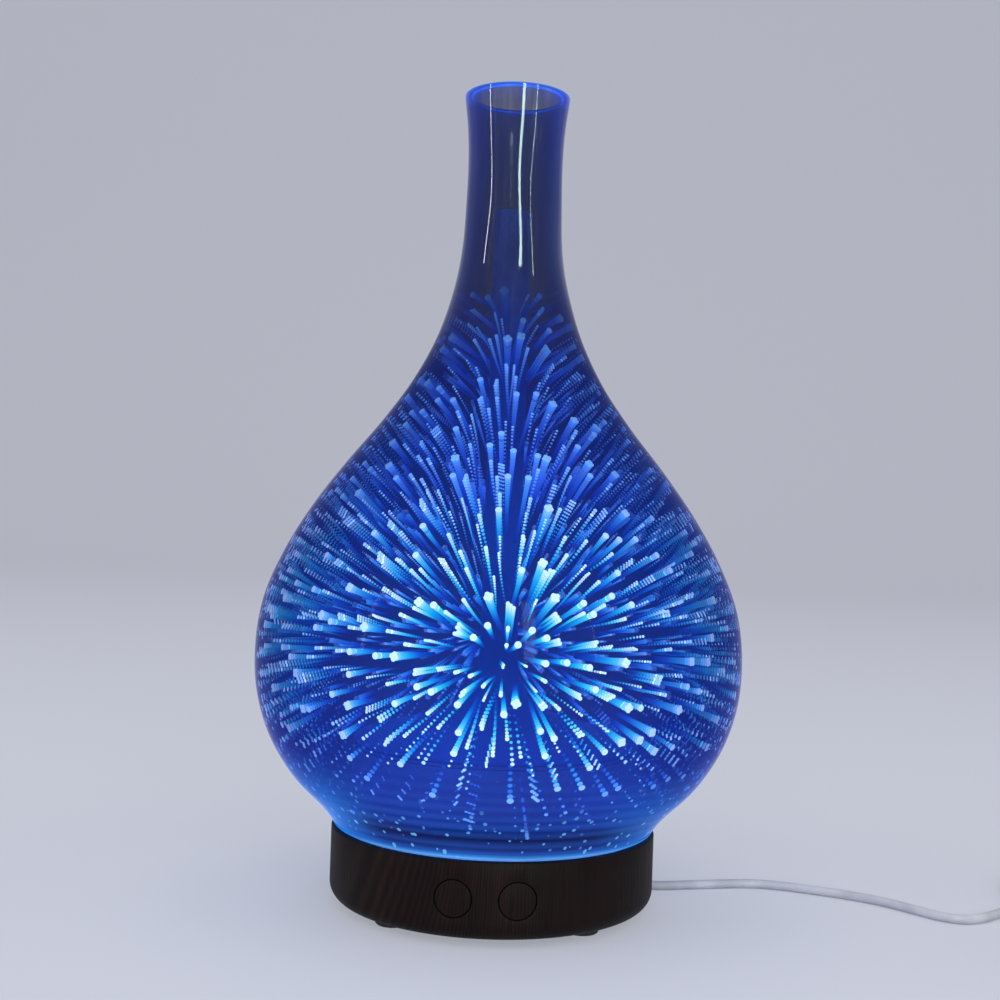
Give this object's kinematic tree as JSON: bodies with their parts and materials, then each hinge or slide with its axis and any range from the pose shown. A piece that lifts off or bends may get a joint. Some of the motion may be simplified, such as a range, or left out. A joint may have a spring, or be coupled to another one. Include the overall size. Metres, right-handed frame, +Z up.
{
  "type": "essential oil diffuser",
  "caption": "Ultrasonic essential oil diffuser: a coated glass bulb with a long neck lifts off a round wood-grain base with a water tank, mist tube, push buttons and a lead.",
  "frame": {"origin": "on the table, under the centre of the round base", "axes": "+Z up along the glass cover's axis, the two buttons face -Y, the lead leaves towards +X and a little +Y"},
  "size_m": [0.2725, 0.1325, 0.2163],
  "materials": {
    "wood_grain": "brown wood-grain film on moulded plastic, satin",
    "coated_glass": "blown glass with a fine reflecting coat that breaks into rows of light dots",
    "tank_plastic": "translucent white moulded plastic",
    "black_plastic": "fine moulded texture",
    "silicone": "soft translucent silicone",
    "foot_rubber": "matt black rubber",
    "steel": "zinc-plated steel",
    "brass": "nickelled brass",
    "copper": "enamelled winding and ferrite",
    "circuit_board": "green solder mask",
    "lamp": "white lamp with a clear lens",
    "lead_sheath": "smooth grey cable sheath"
  },
  "bodies": {
    "base": {"adapter_body": "black_plastic", "adapter_pin_1": "brass", "adapter_pin_2": "brass", "adapter_relief": "black_plastic", "bottom_cover": "black_plastic", "button_board": "circuit_board", "capacitor": "steel", "clamp_screw_1": "steel", "clamp_screw_2": "steel", "clamp_screw_3": "steel", "cord": "lead_sheath", "cord_coil": "lead_sheath", "cord_tail": "lead_sheath", "cord_tie": "black_plastic", "cover_screw_1": "steel", "cover_screw_2": "steel", "cover_screw_3": "steel", "cover_screw_4": "steel", "dc_plug": "black_plastic", "fan_frame": "black_plastic", "fan_gasket": "foot_rubber", "foot_1": "foot_rubber", "foot_2": "foot_rubber", "foot_3": "foot_rubber", "foot_4": "foot_rubber", "glass_seat": "silicone", "housing": "wood_grain", "inductor": "copper", "lamp_1": "lamp", "lamp_2": "lamp", "lamp_3": "lamp", "lamp_4": "lamp", "lamp_5": "lamp", "lamp_6": "lamp", "lamp_7": "lamp", "lamp_8": "lamp", "light_board": "circuit_board", "main_board": "circuit_board", "power_socket": "black_plastic", "power_transistor": "black_plastic", "switch_1": "black_plastic", "switch_2": "black_plastic", "transducer_clamp": "steel", "transducer_disc": "brass", "transducer_seal": "silicone", "water_tank": "tank_plastic", "wire_header": "steel"},
    "glass": {"glass_cover": "coated_glass"},
    "inner_cover": {"inner_cover": "tank_plastic", "inner_cover_seal": "silicone"},
    "fan_rotor": {"fan_rotor": "black_plastic"},
    "button_1": {"button_1": "wood_grain", "switch_plunger_1": "steel"},
    "button_2": {"button_2": "wood_grain", "switch_plunger_2": "steel"}
  },
  "joints": [
    {"name": "glass_lift", "type": "slide", "parent": "base", "child": "glass", "axis": [0, 0, 1], "range_m": [0, 0.17]},
    {"name": "inner_cover_lift", "type": "slide", "parent": "base", "child": "inner_cover", "axis": [0, 0, 1], "range_m": [0, 0.03]},
    {"name": "fan_spin", "type": "hinge", "parent": "base", "child": "fan_rotor", "pos_m": [-0.011, 0.01906, 0.0077], "axis": [0, 0, 1], "continuous": true},
    {"name": "button_1_press", "type": "slide", "parent": "base", "child": "button_1", "axis": [0, 1, 0], "range_m": [0, 0.0005], "stiffness_N_per_m": 1500},
    {"name": "button_2_press", "type": "slide", "parent": "base", "child": "button_2", "axis": [0, 1, 0], "range_m": [0, 0.0005], "stiffness_N_per_m": 1500}
  ]
}
